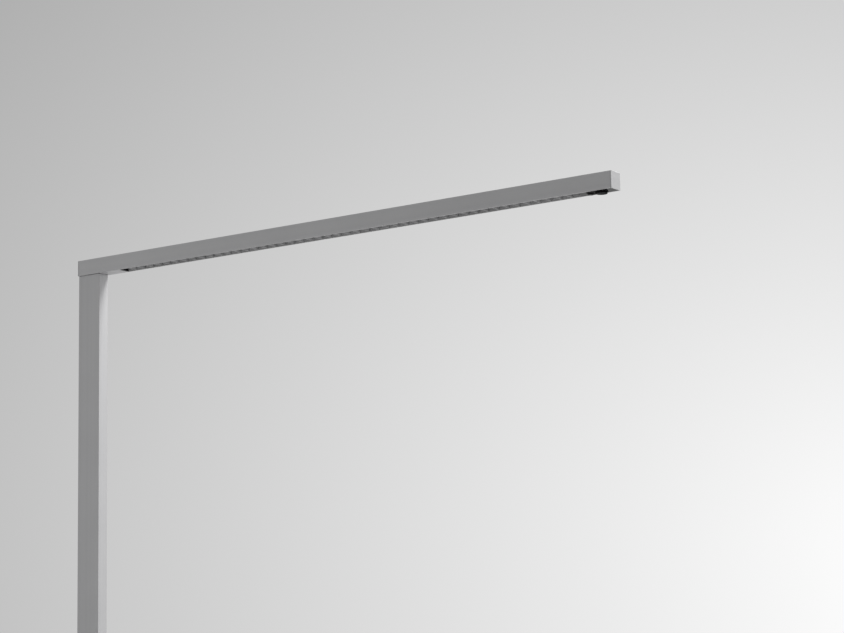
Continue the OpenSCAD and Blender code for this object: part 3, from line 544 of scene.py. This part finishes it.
mask = spread(tree, grain.outputs["Cloud"], 0.0, 1.0)
white = tint(tree, mask, (0.74, 0.74, 0.72), (0.80, 0.80, 0.78))
yellow = (0.75, 0.56, 0.08)
tree.links.new(cover(tree, phosphor, white, yellow), shader.inputs["Base Color"])
tree.links.new(spread(tree, grain.outputs["Grain"], 0.4, 0.55), shader.inputs["Roughness"])
raise_bump(tree, shader, grain.outputs["Grain"], 10 * micrometre)
wear(led_boards, "led_board_1", "led_board_2", "led_board_3", "led_board_4")

# %% Clear lens strips
clear, tree, shader, place = start_finish("clear_acrylic", roughness=0.04, IOR=1.49,
                                          Transmission_Weight=1.0)
grain = add(tree, "ShaderNodeGroup", {"Vector": place, "Per metre": 1200.0}, node_tree=grain_group)
mask = spread(tree, grain.outputs["Cloud"], 0.0, 1.0)
colour = tint(tree, mask, (0.95, 0.96, 0.97), (1.0, 1.0, 1.0))
tree.links.new(colour, shader.inputs["Base Color"])
tree.links.new(spread(tree, grain.outputs["Grain"], 0.03, 0.07), shader.inputs["Roughness"])
wear(clear, "lens_strip_1", "lens_strip_2", "lens_strip_3", "lens_strip_4")

# %% [markdown]
# ## Fasteners, blocks and sheet metal
# Screws and blocks are zinc-plated steel: bright, slightly bluish, with a patchy grey veil. Sheet steel is
# galvanised, which leaves large crystals. Both are the same metal with a different pattern on it. The rail
# that carries the LED boards is plain aluminium and gets the arm's finish with wider lines.

# %% Zinc
def zinc(name, crystals_per_metre, contrast, roughness):
    """Zinc on steel, with crystals of a size."""
    material, tree, shader, place = start_finish(name, metallic=1.0, roughness=roughness)
    crystals = add(tree, "ShaderNodeTexVoronoi", {"Vector": place, "Scale": crystals_per_metre})
    shade = add(tree, "ShaderNodeSeparateColor", {0: crystals.outputs["Color"]}).outputs[0]
    grain = add(tree, "ShaderNodeGroup", {"Vector": place, "Per metre": 2400.0}, node_tree=grain_group)
    mixed = calculate(tree, "ADD", calculate(tree, "MULTIPLY", shade, contrast), grain.outputs["Cloud"])
    highest = 0.7 + contrast
    mask = spread(tree, mixed, 0.0, 1.0, from_high=highest)
    colour = tint(tree, mask, (0.50, 0.51, 0.53), (0.66, 0.67, 0.69))
    tree.links.new(colour, shader.inputs["Base Color"])
    rough = spread(tree, mixed, roughness * 0.8, roughness * 1.3, from_high=highest)
    tree.links.new(rough, shader.inputs["Roughness"])
    raise_bump(tree, shader, grain.outputs["Grain"], 10 * micrometre)
    return material


plated = zinc("zinc_plated_steel", crystals_per_metre=900.0, contrast=0.1, roughness=0.3)
sheet = zinc("galvanised_sheet", crystals_per_metre=140.0, contrast=0.5, roughness=0.35)
wear(plated, "led_board_screws", "arm_nut_bar", "neck_screws", "pole_top_block", "top_set_screws",
     "driver_screws", "foot_block", "foot_screws", "foot_set_screws", "button_spring")
wear(sheet, "driver_sled")
wear(anodised("mill_finish_rail", (2.0, 700.0, 700.0)), "led_rail")

# %% [markdown]
# ## Inside the pole: driver, lead and sensor board
# These are never seen from outside, but a lamp that is taken apart shows them, so they are finished too.

# %% Light plastics
def light_plastic(name, colour, roughness):
    """Moulded light plastic with a faint grain."""
    material, tree, shader, place = start_finish(name, roughness=roughness)
    grain = add(tree, "ShaderNodeGroup", {"Vector": place, "Per metre": 2000.0}, node_tree=grain_group)
    darker = tuple(value * 0.93 for value in colour)
    shade = tint(tree, spread(tree, grain.outputs["Cloud"], 0.0, 1.0), darker, colour)
    tree.links.new(shade, shader.inputs["Base Color"])
    rough = spread(tree, grain.outputs["Grain"], roughness * 0.9, roughness * 1.1)
    tree.links.new(rough, shader.inputs["Roughness"])
    raise_bump(tree, shader, grain.outputs["Grain"], 20 * micrometre)
    return material


wear(light_plastic("white_driver_case", (0.78, 0.78, 0.76), roughness=0.5), "led_driver")
wear(light_plastic("white_cable_sheath", (0.74, 0.74, 0.72), roughness=0.45), "driver_lead")

# %% Sensor board
green, tree, shader, place = start_finish("green_circuit_board", roughness=0.35)
tracks = add(tree, "ShaderNodeTexBrick",
             {"Vector": place, "Scale": 260.0, "Mortar Size": 0.06, "Mortar": (0.06, 0.26, 0.12, 1),
              "Color1": (0.02, 0.12, 0.05, 1), "Color2": (0.025, 0.14, 0.06, 1)})
tree.links.new(tracks.outputs["Color"], shader.inputs["Base Color"])
grain = add(tree, "ShaderNodeGroup", {"Vector": place, "Per metre": 2800.0}, node_tree=grain_group)
tree.links.new(spread(tree, grain.outputs["Grain"], 0.3, 0.42), shader.inputs["Roughness"])
raise_bump(tree, shader, tracks.outputs["Fac"], 20 * micrometre)
wear(green, "sensor_board")

# %% [markdown]
# ## Check the finishes
# Every piece should now have its finish, so the pieces without one are listed. The lamp's box is printed
# once, when the pieces are loaded.

# %% List the pieces without a finish
unfinished = [name for name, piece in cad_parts.items() if not piece.data.materials]
print("pieces without a finish:", unfinished)
